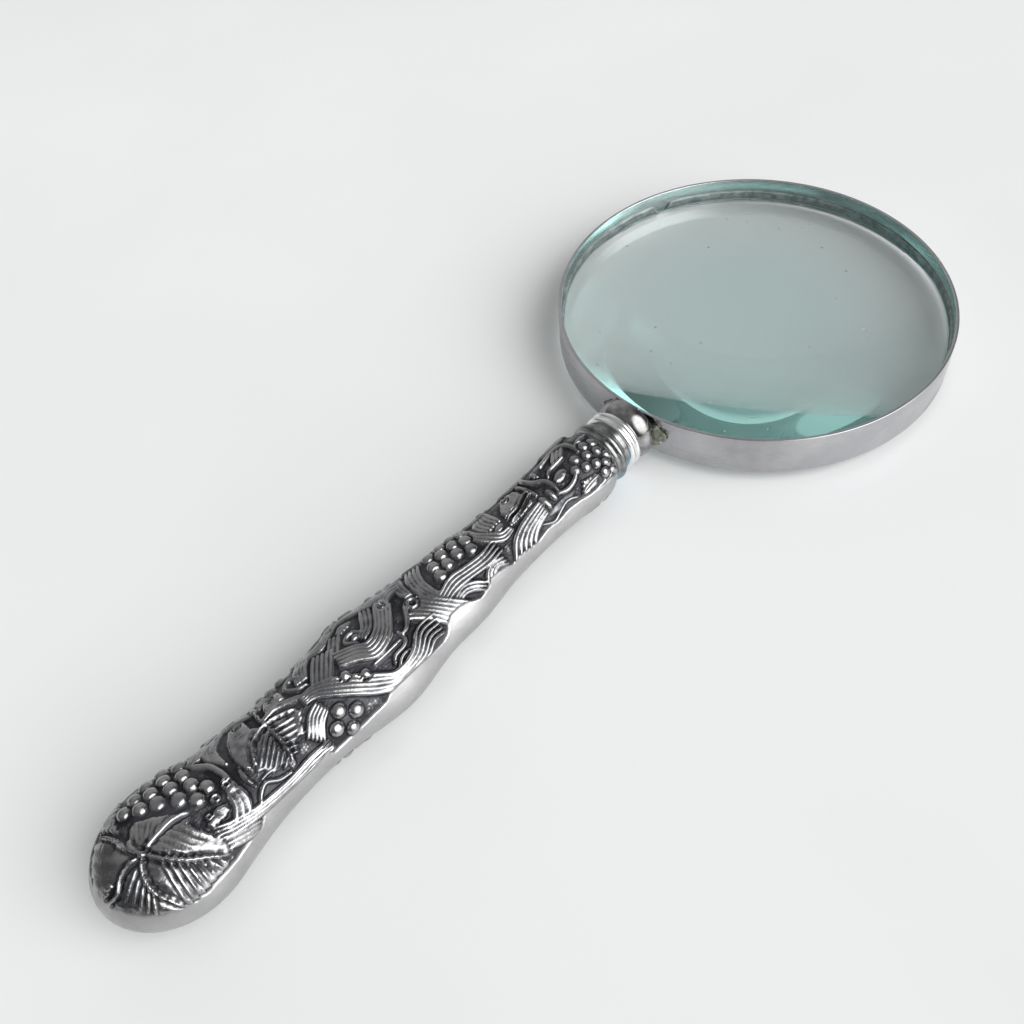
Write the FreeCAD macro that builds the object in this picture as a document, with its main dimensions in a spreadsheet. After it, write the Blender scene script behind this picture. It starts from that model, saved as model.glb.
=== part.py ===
import FreeCAD, Part
import os
import re
import Sketcher

# Hand lens: a round glass in a split metal band, joined by a turned knop and collars to a
# stamped, cement-filled handle. Millimetres.
#
# Frame: +X along the handle's axis towards the glass, +Y across, +Z up with the handle lying on
# its back. The origin is the middle of the whole box, at its base.
# Along the handle a "reach" is the distance from the glass's centre back towards the butt.

DIMENSIONS = [
    # glass and the band that holds it; heights are from the band's middle plane
    ("rim_radius", 50.0),
    ("band_wall", 0.8),
    ("band_height", 10.8),
    ("band_edge_chamfer", 0.15),
    ("split_width", 0.25),
    ("split_offset", 1.75),
    ("glass_radius", 48.95),
    ("glass_edge_top", -0.2),
    ("glass_edge_bottom", -1.8),
    ("glass_sag", 6.0),
    ("seat_width", 0.6),
    ("seat_height", 1.0),
    ("seat_clearance", 0.15),
    ("spring_ring_wall", 0.5),
    ("spring_ring_height", 2.0),
    ("spring_ring_gap", 3.0),
    ("spring_ring_turn", 67.0),
    # strap that closes the band's split, and the solder around it
    ("saddle_thickness", 0.9),
    ("saddle_height", 2.8),
    ("saddle_angle", 22.0),
    ("solder_ring_radius", 7.3),
    ("solder_fillet_radius", 1.1),
    ("solder_height", 6.0),
    # turned pieces, from the band back to the handle's mouth
    ("knop_front", 50.0),
    ("knop_crest", 52.3),
    ("knop_back", 55.6),
    ("knop_front_radius", 7.0),
    ("knop_crest_radius", 7.65),
    ("knop_back_radius", 6.3),
    ("bead_valley_radius", 6.6),
    ("bead_crest_radius", 7.4),
    ("bead_pitch", 1.8),
    ("cove_radius", 6.4),
    ("cove_length", 2.0),
    ("ferrule_radius", 7.8),
    ("ferrule_ring_length", 1.7),
    # handle
    ("mouth_reach", 64.5),
    ("mouth_radius", 7.3),
    ("butt_reach", 203.4),
    ("shell_wall", 0.8),
    ("mouth_plate_thickness", 1.4),
    # threaded rod and the nut that anchors it in the filler
    ("tang_radius", 2.0),
    ("tang_front", 52.0),
    ("tang_back", 128.0),
    ("tang_chamfer", 0.4),
    ("anchor_reach", 118.0),
    ("anchor_side", 9.0),
    ("anchor_thickness", 4.0),
    ("anchor_corner", 0.8),
]

# Sections of the handle: name, reach, half width across Y, half depth along Z.
HANDLE_SECTIONS = [
    ("neck", 70.0, 8.8, 8.3),
    ("upper_waist", 80.0, 8.1, 7.4),
    ("upper_grip", 91.0, 7.95, 7.0),
    ("upper_swell", 103.0, 8.6, 7.4),
    ("middle", 112.0, 9.9, 8.0),
    ("lower_middle", 122.0, 10.1, 8.2),
    ("palm_swell", 135.5, 12.2, 9.4),
    ("palm_back", 147.0, 10.9, 8.9),
    ("lower_waist", 160.0, 10.05, 8.4),
    ("butt_start", 171.0, 11.0, 8.9),
    ("butt_shoulder", 180.0, 12.9, 9.9),
    ("butt_widest", 188.0, 13.8, 10.6),
]

# Every placement is written from these two, which put the origin under the middle of the box.
RING_X = "(butt_reach - rim_radius) / 2"
AXIS_Z = "depth_butt_widest"

ALIASES = set()


def add_dimensions(doc):
    """The sheet that drives every size."""
    rows = list(DIMENSIONS)
    for name, reach, width, depth in HANDLE_SECTIONS:
        rows += [("reach_" + name, reach), ("width_" + name, width), ("depth_" + name, depth)]
    sheet = doc.addObject("Spreadsheet::Sheet", "Dims")
    for number, (name, value) in enumerate(rows, start=1):
        sheet.set("A%d" % number, name)
        sheet.set("B%d" % number, str(value))
        sheet.setAlias("B%d" % number, name)
        ALIASES.add(name)
    doc.recompute()


def bound(formula):
    """A formula in dimension names, as an expression on the sheet's cells."""
    return re.sub(r"[a-z]\w*", lambda word: "Dims." + word.group() if word.group() in ALIASES
                  else word.group(), formula)


def value(doc, formula):
    """The number that a formula in dimension names has now."""
    return float(doc.Dims.evalExpression(bound(formula)))


def bind(thing, **formulas):
    """Ties an object's own sizes to formulas."""
    for name, formula in formulas.items():
        thing.setExpression(name, bound(formula))


def place(thing, reach="0", height="0", across="0", rotation=None):
    """Puts an object at a reach behind the glass's centre, on the handle's axis."""
    if rotation:
        thing.Placement = FreeCAD.Placement(FreeCAD.Vector(), rotation)
    thing.setExpression("Placement.Base.x", bound("%s - (%s)" % (RING_X, reach)))
    thing.setExpression("Placement.Base.y", bound(across))
    thing.setExpression("Placement.Base.z", bound("%s + (%s)" % (AXIS_Z, height)))


# A body turned half round about Z: its own +X then runs from the glass's centre to the butt.
TOWARDS_BUTT = FreeCAD.Rotation(FreeCAD.Vector(0, 0, 1), 180)
# A section laid across the handle: its own X becomes Y, its Y becomes Z.
ACROSS_HANDLE = FreeCAD.Rotation(FreeCAD.Vector(1, 1, 1), 120)


def add_body(doc, label):
    body = doc.addObject("PartDesign::Body", label)
    body.Label = label
    place(body, rotation=TOWARDS_BUTT)
    return body


def add_sketch(body, name, plane):
    sketch = body.newObject("Sketcher::SketchObject", name)
    role = plane + "_Plane"
    feature = [item for item in body.Origin.OriginFeatures if item.Role == role][0]
    sketch.AttachmentSupport = [(feature, "")]
    sketch.MapMode = "FlatFace"
    return sketch


def pin_point(sketch, geometry, position, point):
    """Holds one point of a sketch at two formulas."""
    for kind, axis, formula in (("DistanceX", -2, point[0]), ("DistanceY", -1, point[1])):
        distance = value(sketch.Document, formula)
        if distance == 0:
            sketch.addConstraint(Sketcher.Constraint("PointOnObject", geometry, position, axis))
            continue
        number = sketch.addConstraint(
            Sketcher.Constraint(kind, -1, 1, geometry, position, distance))
        sketch.setExpression("Constraints[%d]" % number, bound(formula))


def draw_outline(sketch, corners, arcs=None):
    """A closed outline through corners; arcs gives a point to pass through, by edge number."""
    arcs = arcs or {}

    def at(point):
        return FreeCAD.Vector(value(sketch.Document, point[0]), value(sketch.Document, point[1]), 0)

    edges = []
    for number, start in enumerate(corners):
        end = corners[(number + 1) % len(corners)]
        if number in arcs:
            curve = Part.Arc(at(start), at(arcs[number]), at(end))
            edge = sketch.addGeometry(curve)
            # a sketch's arc runs anticlockwise, so its first end may be the outline's second
            turned = sketch.getPoint(edge, 1).distanceToPoint(at(start)) > 1e-6
            edges.append((edge, 2, 1) if turned else (edge, 1, 2))
        else:
            edges.append((sketch.addGeometry(Part.LineSegment(at(start), at(end))), 1, 2))
    for number, (edge, first, last) in enumerate(edges):
        following, next_first, next_last = edges[(number + 1) % len(edges)]
        sketch.addConstraint(Sketcher.Constraint("Coincident", edge, last, following, next_first))
        pin_point(sketch, edge, first, corners[number])
        if number in arcs:
            through = sketch.addGeometry(Part.Point(at(arcs[number])), True)
            pin_point(sketch, through, 1, arcs[number])
            sketch.addConstraint(Sketcher.Constraint("PointOnObject", through, 1, edge))


def revolve(body, sketch, axis, angle="360", midplane=False):
    turn = body.newObject("PartDesign::Revolution", body.Label + "_turn")
    turn.Profile = sketch
    turn.ReferenceAxis = (sketch, [axis])
    turn.Midplane = midplane
    bind(turn, Angle=angle)
    sketch.Visibility = False
    return turn


def add_turned(doc, label, corners, arcs=None, about="H_Axis", **options):
    """A body turned about the handle's axis (H_Axis) or the glass's axis (V_Axis)."""
    body = add_body(doc, label)
    sketch = add_sketch(body, label + "_profile", "XZ")
    draw_outline(sketch, corners, arcs)
    revolve(body, sketch, about, **options)
    return body


def check_smaller(doc, body, before, feature):
    """A pocket that points away from the solid removes nothing and gives no error."""
    doc.recompute()
    if body.Shape.Volume >= before:
        raise RuntimeError(feature.Label + " removed nothing")


# ---- the glass and its band -------------------------------------------------------------------

def make_lens(doc):
    """Biconvex glass with a ground cylindrical edge. Both faces are spherical."""
    corners = [("0", "glass_edge_bottom - glass_sag"), ("glass_radius", "glass_edge_bottom"),
               ("glass_radius", "glass_edge_top"), ("0", "glass_edge_top + glass_sag")]
    curvature = "(glass_radius ^ 2 + glass_sag ^ 2) / (2 * glass_sag)"
    half_way = "glass_radius / 2"
    drop = "(%s - sqrt((%s) ^ 2 - (%s) ^ 2))" % (curvature, curvature, half_way)
    arcs = {0: (half_way, "glass_edge_bottom - glass_sag + " + drop),
            2: (half_way, "glass_edge_top + glass_sag - " + drop)}
    return add_turned(doc, "lens", corners, arcs, about="V_Axis")


def make_rim_band(doc):
    """Flat strip bent round the glass. Its two ends meet behind the strap."""
    inner = "rim_radius - band_wall"
    corners = [(inner, "-band_height / 2"), ("rim_radius", "-band_height / 2"),
               ("rim_radius", "band_height / 2"), (inner, "band_height / 2")]
    body = add_turned(doc, "rim_band", corners, about="V_Axis")
    doc.recompute()
    band = body.Tip
    circles = ["Edge%d" % (number + 1) for number, edge in enumerate(band.Shape.Edges)
               if isinstance(edge.Curve, Part.Circle)]
    chamfer = body.newObject("PartDesign::Chamfer", "band_edges")
    chamfer.Base = (band, circles)
    bind(chamfer, Size="band_edge_chamfer")
    doc.recompute()
    before = body.Shape.Volume
    split = add_sketch(body, "split_outline", "XY")
    near, far = "split_offset - split_width / 2", "split_offset + split_width / 2"
    front, back = "rim_radius - band_wall * 3", "rim_radius + band_wall"
    draw_outline(split, [(front, near), (back, near), (back, far), (front, far)])
    pocket = body.newObject("PartDesign::Pocket", "band_split")
    pocket.Profile = split
    pocket.Midplane = True
    bind(pocket, Length="band_height * 2")
    check_smaller(doc, body, before, pocket)
    return body


def make_seat_ring(doc):
    """Square ring soldered in the band, under the glass's edge."""
    outer = "rim_radius - band_wall"
    inner = outer + " - seat_width"
    top = "glass_edge_bottom - seat_clearance"
    bottom = top + " - seat_height"
    corners = [(inner, bottom), (outer, bottom), (outer, top), (inner, top)]
    return add_turned(doc, "seat_ring", corners, about="V_Axis")


def make_retaining_ring(doc):
    """Flat spring ring, sprung into the band on top of the glass's edge, with a gap."""
    outer = "rim_radius - band_wall"
    inner = outer + " - spring_ring_wall"
    bottom = "glass_edge_top + seat_clearance"
    top = bottom + " + spring_ring_height"
    corners = [(inner, bottom), (outer, bottom), (outer, top), (inner, top)]
    body = add_turned(doc, "retaining_ring", corners, about="V_Axis",
                      angle="360 - spring_ring_gap")
    bind(body, **{"Placement.Rotation.Angle": "spring_ring_turn"})
    return body


def make_rim_saddle(doc):
    """Narrow strap round the outside of the band, over its split."""
    outer = "rim_radius + saddle_thickness"
    corners = [("rim_radius", "-saddle_height / 2"), (outer, "-saddle_height / 2"),
               (outer, "saddle_height / 2"), ("rim_radius", "saddle_height / 2")]
    return add_turned(doc, "rim_saddle", corners, about="V_Axis", angle="saddle_angle",
                      midplane=True)


# ---- turned pieces ----------------------------------------------------------------------------

def make_knop(doc):
    """Squat barrel, hollowed in front to sit on the strap, with a blind hole for the tang."""
    corners = [("knop_front", "0"), ("knop_front", "knop_front_radius"),
               ("knop_back", "knop_back_radius"), ("knop_back", "tang_radius"),
               ("tang_front", "tang_radius"), ("tang_front", "0")]
    arcs = {1: ("knop_crest", "knop_crest_radius")}
    blank = add_turned(doc, "knop_blank", corners, arcs)
    hollow = doc.addObject("Part::Cylinder", "knop_hollow")
    bind(hollow, Radius="rim_radius + saddle_thickness", Height="knop_crest_radius * 4")
    place(hollow, height="-knop_crest_radius * 2")
    return subtract(doc, "knop", blank, hollow)


def make_bead_collar(doc):
    """Collar turned with two round beads."""
    start = "knop_back"
    middle = "knop_back + bead_pitch"
    end = "knop_back + bead_pitch * 2"
    corners = [(start, "tang_radius"), (start, "bead_valley_radius"),
               (middle, "bead_valley_radius"), (end, "bead_valley_radius"),
               (end, "tang_radius")]
    arcs = {1: ("knop_back + bead_pitch / 2", "bead_crest_radius"),
            2: ("knop_back + bead_pitch * 1.5", "bead_crest_radius")}
    return add_turned(doc, "bead_collar", corners, arcs)


def make_ferrule(doc):
    """Hollow cove, a raised ring, then a waisted neck that meets the handle's mouth."""
    start = "knop_back + bead_pitch * 2"
    cove_end = start + " + cove_length"
    ring_end = cove_end + " + ferrule_ring_length"
    corners = [(start, "tang_radius"), (start, "bead_valley_radius"),
               (cove_end, "cove_radius + 0.5"), (cove_end, "ferrule_radius - 0.4"),
               (ring_end, "ferrule_radius - 0.4"), ("mouth_reach", "mouth_radius"),
               ("mouth_reach", "tang_radius")]
    arcs = {1: (start + " + cove_length / 2", "cove_radius"),
            3: (cove_end + " + ferrule_ring_length / 2", "ferrule_radius"),
            4: ("(%s + mouth_reach) / 2" % ring_end, "mouth_radius - 0.25")}
    return add_turned(doc, "ferrule", corners, arcs)


def make_saddle_solder(doc):
    """A fillet of solder on each side, in the corner between knop, strap and band."""
    ring = doc.addObject("Part::Torus", "solder_ring")
    bind(ring, Radius1="solder_ring_radius", Radius2="solder_fillet_radius")
    place(ring, reach="rim_radius + saddle_thickness / 2", rotation=ACROSS_HANDLE)
    sides = doc.addObject("Part::Box", "solder_sides")
    bind(sides, Length="saddle_thickness * 8", Width="rim_radius", Height="solder_height")
    place(sides, reach="rim_radius + saddle_thickness * 4", across="-rim_radius / 2",
          height="-solder_height / 2")
    fillets = intersect(doc, "solder_fillets", ring, sides)
    glass_side = doc.addObject("Part::Cylinder", "solder_inner_limit")
    bind(glass_side, Radius="rim_radius", Height="knop_crest_radius * 4")
    place(glass_side, height="-knop_crest_radius * 2")
    neighbours = fuse(doc, "solder_neighbours", [glass_side, doc.knop, doc.rim_saddle])
    return subtract(doc, "saddle_solder", fillets, neighbours)


# ---- the handle -------------------------------------------------------------------------------

def subtract(doc, label, base, tool):
    result = doc.addObject("Part::Cut", label)
    result.Base = base
    result.Tool = tool
    return result


def fuse(doc, label, shapes):
    result = doc.addObject("Part::MultiFuse", label)
    result.Shapes = shapes
    result.Refine = True
    return result


def intersect(doc, label, base, tool):
    result = doc.addObject("Part::Common", label)
    result.Base = base
    result.Tool = tool
    return result


def add_handle_form(doc, name, inset):
    """The handle's oval form drawn in by an inset: a loft, closed by half an ellipsoid."""
    sections = [("mouth", "mouth_reach", "mouth_radius", "mouth_radius")]
    for section, _, _, _ in HANDLE_SECTIONS:
        sections.append((section, "reach_" + section, "width_" + section, "depth_" + section))
    ovals = []
    for section, reach, width, depth in sections:
        oval = doc.addObject("Part::Ellipse", "%s_%s" % (name, section))
        bind(oval, MajorRadius="%s - %s" % (width, inset), MinorRadius="%s - %s" % (depth, inset))
        place(oval, reach=reach, rotation=ACROSS_HANDLE)
        ovals.append(oval)
    loft = doc.addObject("Part::Loft", name + "_loft")
    loft.Sections = ovals
    loft.Solid = True
    # the half ellipsoid fills its own +Y, which is turned to point at the butt
    dome = doc.addObject("Part::Ellipsoid", name + "_dome")
    dome.Angle3 = 180
    bind(dome, Radius1="depth_butt_widest - " + inset, Radius2="width_butt_widest - " + inset,
         Radius3="butt_reach - reach_butt_widest - " + inset)
    place(dome, reach="reach_butt_widest",
          rotation=FreeCAD.Rotation(FreeCAD.Vector(0, 0, 1), 90))
    return fuse(doc, name + "_form", [loft, dome])


def add_half_space(doc, label, height):
    """A box that takes in the handle above or below its side seam."""
    box = doc.addObject("Part::Box", label)
    bind(box, Length="butt_reach", Width="width_butt_widest * 4", Height="width_butt_widest * 2")
    place(box, reach="butt_reach + width_butt_widest", height=height,
          across="-width_butt_widest * 2")
    return box


def make_handle_shells(doc, outer, inner):
    """Front and back stampings that meet along the side seam."""
    shell = subtract(doc, "handle_skin", outer, inner)
    front_half = add_half_space(doc, "front_half", "0")
    back_half = add_half_space(doc, "back_half", "-width_butt_widest * 2")
    return [intersect(doc, "handle_front_shell", shell, front_half),
            intersect(doc, "handle_back_shell", shell, back_half)]


def make_tang_rod(doc):
    """Rod screwed into the knop, through the collars and into the filler."""
    rise = "tang_radius - tang_chamfer"
    corners = [("tang_front", "0"), ("tang_front", rise),
               ("tang_front + tang_chamfer", "tang_radius"),
               ("tang_back - tang_chamfer", "tang_radius"), ("tang_back", rise),
               ("tang_back", "0")]
    return add_turned(doc, "tang_rod", corners)


def make_tang_anchor(doc):
    """Square nut on the tang, cast into the filler."""
    body = add_body(doc, "tang_anchor")
    sketch = add_sketch(body, "nut_outline", "YZ")
    sketch.setExpression("AttachmentOffset.Base.z", bound("anchor_reach"))
    half = "anchor_side / 2"
    corners = [("-" + half, "-" + half), (half, "-" + half), (half, half), ("-" + half, half)]
    draw_outline(sketch, corners)
    bore = sketch.addGeometry(Part.Circle(FreeCAD.Vector(), FreeCAD.Vector(0, 0, 1),
                                          value(doc, "tang_radius")))
    sketch.addConstraint(Sketcher.Constraint("Coincident", bore, 3, -1, 1))
    number = sketch.addConstraint(Sketcher.Constraint("Radius", bore, value(doc, "tang_radius")))
    sketch.setExpression("Constraints[%d]" % number, bound("tang_radius"))
    pad = body.newObject("PartDesign::Pad", "nut_pad")
    pad.Profile = sketch
    bind(pad, Length="anchor_thickness")
    doc.recompute()
    upright = [edge for edge in enumerate(pad.Shape.Edges, start=1)
               if isinstance(edge[1].Curve, Part.Line)
               and abs(edge[1].Length - value(doc, "anchor_thickness")) < 1e-6]
    corner = body.newObject("PartDesign::Chamfer", "nut_corners")
    corner.Base = (pad, ["Edge%d" % number for number, edge in upright])
    bind(corner, Size="anchor_corner")
    return body


def add_tang_clearance(doc, label, back):
    """A rod-sized cylinder from the knop to a given reach."""
    hole = doc.addObject("Part::Cylinder", label)
    bind(hole, Radius="tang_radius", Height="(%s) - tang_front" % back)
    place(hole, reach=back, rotation=FreeCAD.Rotation(FreeCAD.Vector(0, 1, 0), 90))
    return hole


def make_mouth_plate(doc, inner):
    """Plate soldered inside the shells' mouth, drilled for the tang."""
    slab = doc.addObject("Part::Cylinder", "mouth_slab")
    bind(slab, Radius="ferrule_radius * 2", Height="mouth_plate_thickness")
    place(slab, reach="mouth_reach + mouth_plate_thickness",
          rotation=FreeCAD.Rotation(FreeCAD.Vector(0, 1, 0), 90))
    disc = intersect(doc, "mouth_disc", inner, slab)
    hole = add_tang_clearance(doc, "mouth_hole", "mouth_reach + mouth_plate_thickness * 2")
    return subtract(doc, "mouth_plate", disc, hole)


def make_handle_core(doc, inner, anchor):
    """Cement filler, cast round the tang and its nut."""
    hole = add_tang_clearance(doc, "tang_hole", "tang_back")
    taken = fuse(doc, "core_spaces", [hole, anchor, doc.mouth_slab])
    return subtract(doc, "handle_core", inner, taken)


# ---- whole object -----------------------------------------------------------------------------

def make_all(doc):
    add_dimensions(doc)
    parts = [make_lens(doc), make_rim_band(doc), make_seat_ring(doc), make_retaining_ring(doc),
             make_rim_saddle(doc), make_knop(doc), make_bead_collar(doc), make_ferrule(doc),
             make_saddle_solder(doc)]
    outer = add_handle_form(doc, "outer", "0")
    inner = add_handle_form(doc, "inner", "shell_wall")
    anchor = make_tang_anchor(doc)
    parts += [make_mouth_plate(doc, inner), make_tang_rod(doc), anchor,
              make_handle_core(doc, inner, anchor)]
    parts += make_handle_shells(doc, outer, inner)
    doc.recompute()
    return parts


def check_document(doc, parts):
    """Recomputing can leave an object failed without raising."""
    for thing in doc.Objects:
        if "Invalid" in thing.State or "Error" in thing.State:
            raise RuntimeError("%s is %s" % (thing.Label, thing.State))
    for part in parts:
        if part.Shape.isNull() or not part.Shape.isValid():
            raise RuntimeError(part.Label + " has no valid shape")


def main():
    doc = FreeCAD.newDocument("hand_lens")
    parts = make_all(doc)
    check_document(doc, parts)
    os.makedirs("parts", exist_ok=True)
    for part in parts:
        part.Shape.exportStep("parts/%s.step" % part.Label)
        print(part.Label, "%.1f mm3" % part.Shape.Volume, len(part.Shape.Solids), "solid")


main()
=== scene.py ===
import cmath
from math import asin, cos, hypot, pi, radians, sin, sqrt, tau

import bmesh
import bpy
import numpy as np
from mathutils import Euler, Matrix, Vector
from mathutils.bvhtree import BVHTree


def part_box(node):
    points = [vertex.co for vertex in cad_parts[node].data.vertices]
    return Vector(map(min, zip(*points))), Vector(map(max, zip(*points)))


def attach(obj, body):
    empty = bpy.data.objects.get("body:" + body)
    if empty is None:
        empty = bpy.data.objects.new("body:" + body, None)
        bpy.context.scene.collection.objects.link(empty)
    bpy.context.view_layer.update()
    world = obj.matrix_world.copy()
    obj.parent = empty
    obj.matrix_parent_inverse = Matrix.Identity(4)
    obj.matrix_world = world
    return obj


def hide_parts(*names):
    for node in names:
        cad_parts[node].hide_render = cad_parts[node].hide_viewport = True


# The looks of the hand lens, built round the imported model. Lengths are in millimetres until a point is
# placed in the scene. A "reach" is a distance from the glass's centre back along the handle. An ornament
# point is (reach, across): across is the arc length from the handle's crest, positive towards -Y.

MM = 0.001
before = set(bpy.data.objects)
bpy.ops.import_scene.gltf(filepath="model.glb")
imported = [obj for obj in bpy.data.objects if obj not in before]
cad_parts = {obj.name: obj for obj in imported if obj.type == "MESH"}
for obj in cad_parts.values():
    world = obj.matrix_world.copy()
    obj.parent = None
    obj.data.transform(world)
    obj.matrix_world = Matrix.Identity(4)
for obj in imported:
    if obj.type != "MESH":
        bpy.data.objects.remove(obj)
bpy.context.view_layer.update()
scene = bpy.context.scene


# ---- places read from the frame ----

def middle(node):
    low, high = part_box(node)
    return (low + high) / 2


def size(node):
    low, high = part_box(node)
    return (high - low) / MM


def ends(node):
    """The reaches where a piece starts and ends."""
    low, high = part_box(node)
    return (GLASS_X - high.x) / MM, (GLASS_X - low.x) / MM


def over_axis(node):
    """A piece's lowest and highest rise over the handle's axis."""
    low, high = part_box(node)
    return (low.z - AXIS_Z) / MM, (high.z - AXIS_Z) / MM


AXIS_Z = middle("tang_rod").z
GLASS_X = middle("rim_band").x
BAND_RADIUS = size("rim_band").x / 2
GLASS_RADIUS = size("lens").x / 2
MOUTH_REACH, BUTT_REACH = ends("handle_front_shell")


def at_reach(reach, across, rise):
    """The scene's point at a reach, a distance across and a rise over the handle's axis."""
    return Vector((GLASS_X - reach * MM, across * MM, AXIS_Z + rise * MM))


def about_handle(along, radius, angle):
    """Place for a piece turned on the handle's axis."""
    return at_reach(along, radius * cos(angle), radius * sin(angle))


def about_glass(rise, radius, angle):
    """Place for a piece turned on the glass's axis."""
    return at_reach(-radius * cos(angle), radius * sin(angle), rise)


# ---- mesh helpers ----

def mesh_object(name, points, faces, merge=0.0):
    """A smooth-shaded object with outward faces. Points closer than merge become one."""
    mesh = bpy.data.meshes.new(name)
    mesh.from_pydata([tuple(point) for point in points], [], faces)
    mesh.validate()
    work = bmesh.new()
    work.from_mesh(mesh)
    if merge:
        bmesh.ops.remove_doubles(work, verts=work.verts, dist=merge)
        bmesh.ops.dissolve_degenerate(work, edges=work.edges, dist=merge / 10)
    bmesh.ops.recalc_face_normals(work, faces=work.faces)
    work.to_mesh(mesh)
    work.free()
    mesh.polygons.foreach_set("use_smooth", [True] * len(mesh.polygons))
    thing = bpy.data.objects.new(name, mesh)
    scene.collection.objects.link(thing)
    return thing


def add_attribute(thing, label, values):
    attribute = thing.data.attributes.new(label, "FLOAT", "POINT")
    attribute.data.foreach_set("value", np.asarray(values, np.float32))


def grid_faces(rows, columns, wrap_rows=False, wrap_columns=False):
    """Quads over a grid of points numbered row by row."""
    faces = []
    for row in range(rows if wrap_rows else rows - 1):
        start, below = row * columns, (row + 1) % rows * columns
        for column in range(columns if wrap_columns else columns - 1):
            beside = (column + 1) % columns
            faces.append((start + column, start + beside, below + beside, below + column))
    return faces


def lathe(name, outline, segments, place, closed=True):
    """Turns an outline of (along, radius) about the axis that place belongs to."""
    points = []
    for turn in range(segments):
        angle = tau * turn / segments
        points += [place(along, radius, angle) for along, radius in outline]
    return mesh_object(name, points, grid_faces(segments, len(outline), True, closed), merge=1e-6)


def capped_sweep(name, sections):
    """A closed bar through its sections, each an outline of points."""
    count, corners = len(sections), len(sections[0])
    caps = [tuple(range(corners)), tuple(range((count - 1) * corners, count * corners))]
    points = [point for section in sections for point in section]
    return mesh_object(name, points, grid_faces(count, corners, wrap_columns=True) + caps)


def smooth_path(points, steps=5):
    """A smooth line through the points."""
    points = np.asarray(points, float)
    padded = np.vstack([2 * points[0] - points[1], points, 2 * points[-1] - points[-2]])
    line = []
    for p0, p1, p2, p3 in zip(padded, padded[1:], padded[2:], padded[3:]):
        for t in np.linspace(0, 1, steps, endpoint=False):
            line.append(0.5 * (2 * p1 + (p2 - p0) * t + (2 * p0 - 5 * p1 + 4 * p2 - p3) * t * t
                + (3 * p1 - p0 - 3 * p2 + p3) * t ** 3))
    return np.array(line + [points[-1]])


def smooth_step(value, low, high):
    share = np.clip((value - low) / (high - low), 0, 1)
    return share * share * (3 - 2 * share)


def arc_through(start, crest, end, steps):
    """Points along the circle through three points of an outline."""
    start, crest, end = complex(*start), complex(*crest), complex(*end)
    ratio = (end - start) / (crest - start)
    centre = start + (crest - start) * (ratio - abs(ratio) ** 2) / (2j * ratio.imag)
    sweep = cmath.phase((end - centre) / (start - centre))
    points = [centre + (start - centre) * cmath.exp(1j * sweep * step / steps) for step in range(steps + 1)]
    return [(point.real, point.imag) for point in points]


# ---- node materials ----

def join(tree, socket, value):
    """Links a socket to another one, or sets its constant."""
    if isinstance(value, bpy.types.NodeSocket):
        tree.links.new(value, socket)
    else:
        socket.default_value = value


def add_node(tree, kind, sockets=(), **settings):
    """A node with its settings and its inputs, by name or number."""
    made = tree.nodes.new("ShaderNode" + kind)
    for name, value in settings.items():
        setattr(made, name, value)
    for name, value in dict(sockets).items():
        join(tree, made.inputs[name], value)
    return made


class Paint:
    """A short way to build one node material."""

    def __init__(self, name):
        self.material = bpy.data.materials.new(name)
        self.material.use_nodes = True
        self.tree = self.material.node_tree
        self.place = add_node(self.tree, "TexCoord").outputs["Object"]

    def look(self, **sockets):
        """Sets or links the shader's own sockets, and gives the material."""
        for name, value in sockets.items():
            join(self.tree, self.tree.nodes["Principled BSDF"].inputs[name.replace("_", " ")], value)
        return self.material

    def stretched(self, *scale):
        """The piece's own coordinates, scaled per axis."""
        return add_node(self.tree, "Mapping", {"Vector": self.place, "Scale": scale}).outputs["Vector"]

    def noise(self, scale, detail=4.0, roughness=0.55, place=None):
        sockets = {"Vector": place or self.place, "Scale": scale, "Detail": detail, "Roughness": roughness}
        return add_node(self.tree, "TexNoise", sockets).outputs["Fac"]

    def cells(self, scale):
        return add_node(self.tree, "TexVoronoi", {"Vector": self.place, "Scale": scale}).outputs["Distance"]

    def attribute(self, name):
        return add_node(self.tree, "Attribute", attribute_name=name).outputs["Fac"]

    def remap(self, value, low, high, to_low=0.0, to_high=1.0):
        sockets = {"Value": value, "From Min": low, "From Max": high, "To Min": to_low, "To Max": to_high}
        return add_node(self.tree, "MapRange", sockets, interpolation_type="SMOOTHSTEP").outputs["Result"]

    def patches(self, scale, detail, low, high, to_low=0.0, to_high=1.0):
        """Noise with its contrast raised between two levels."""
        return self.remap(self.noise(scale, detail), low, high, to_low, to_high)

    def maths(self, operation, *values):
        return add_node(self.tree, "Math", enumerate(values), operation=operation).outputs["Value"]

    def mix(self, share, first, second):
        """A mix of two colours."""
        return add_node(self.tree, "Mix", {0: share, 6: first, 7: second}, data_type="RGBA").outputs[2]

    def bump(self, height, distance, strength, **below):
        sockets = {"Height": height, "Distance": distance, "Strength": strength, **below}
        return add_node(self.tree, "Bump", sockets).outputs["Normal"]


def grey(level, red=0.0, blue=0.0):
    return (level + red, level, level + blue, 1.0)


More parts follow.
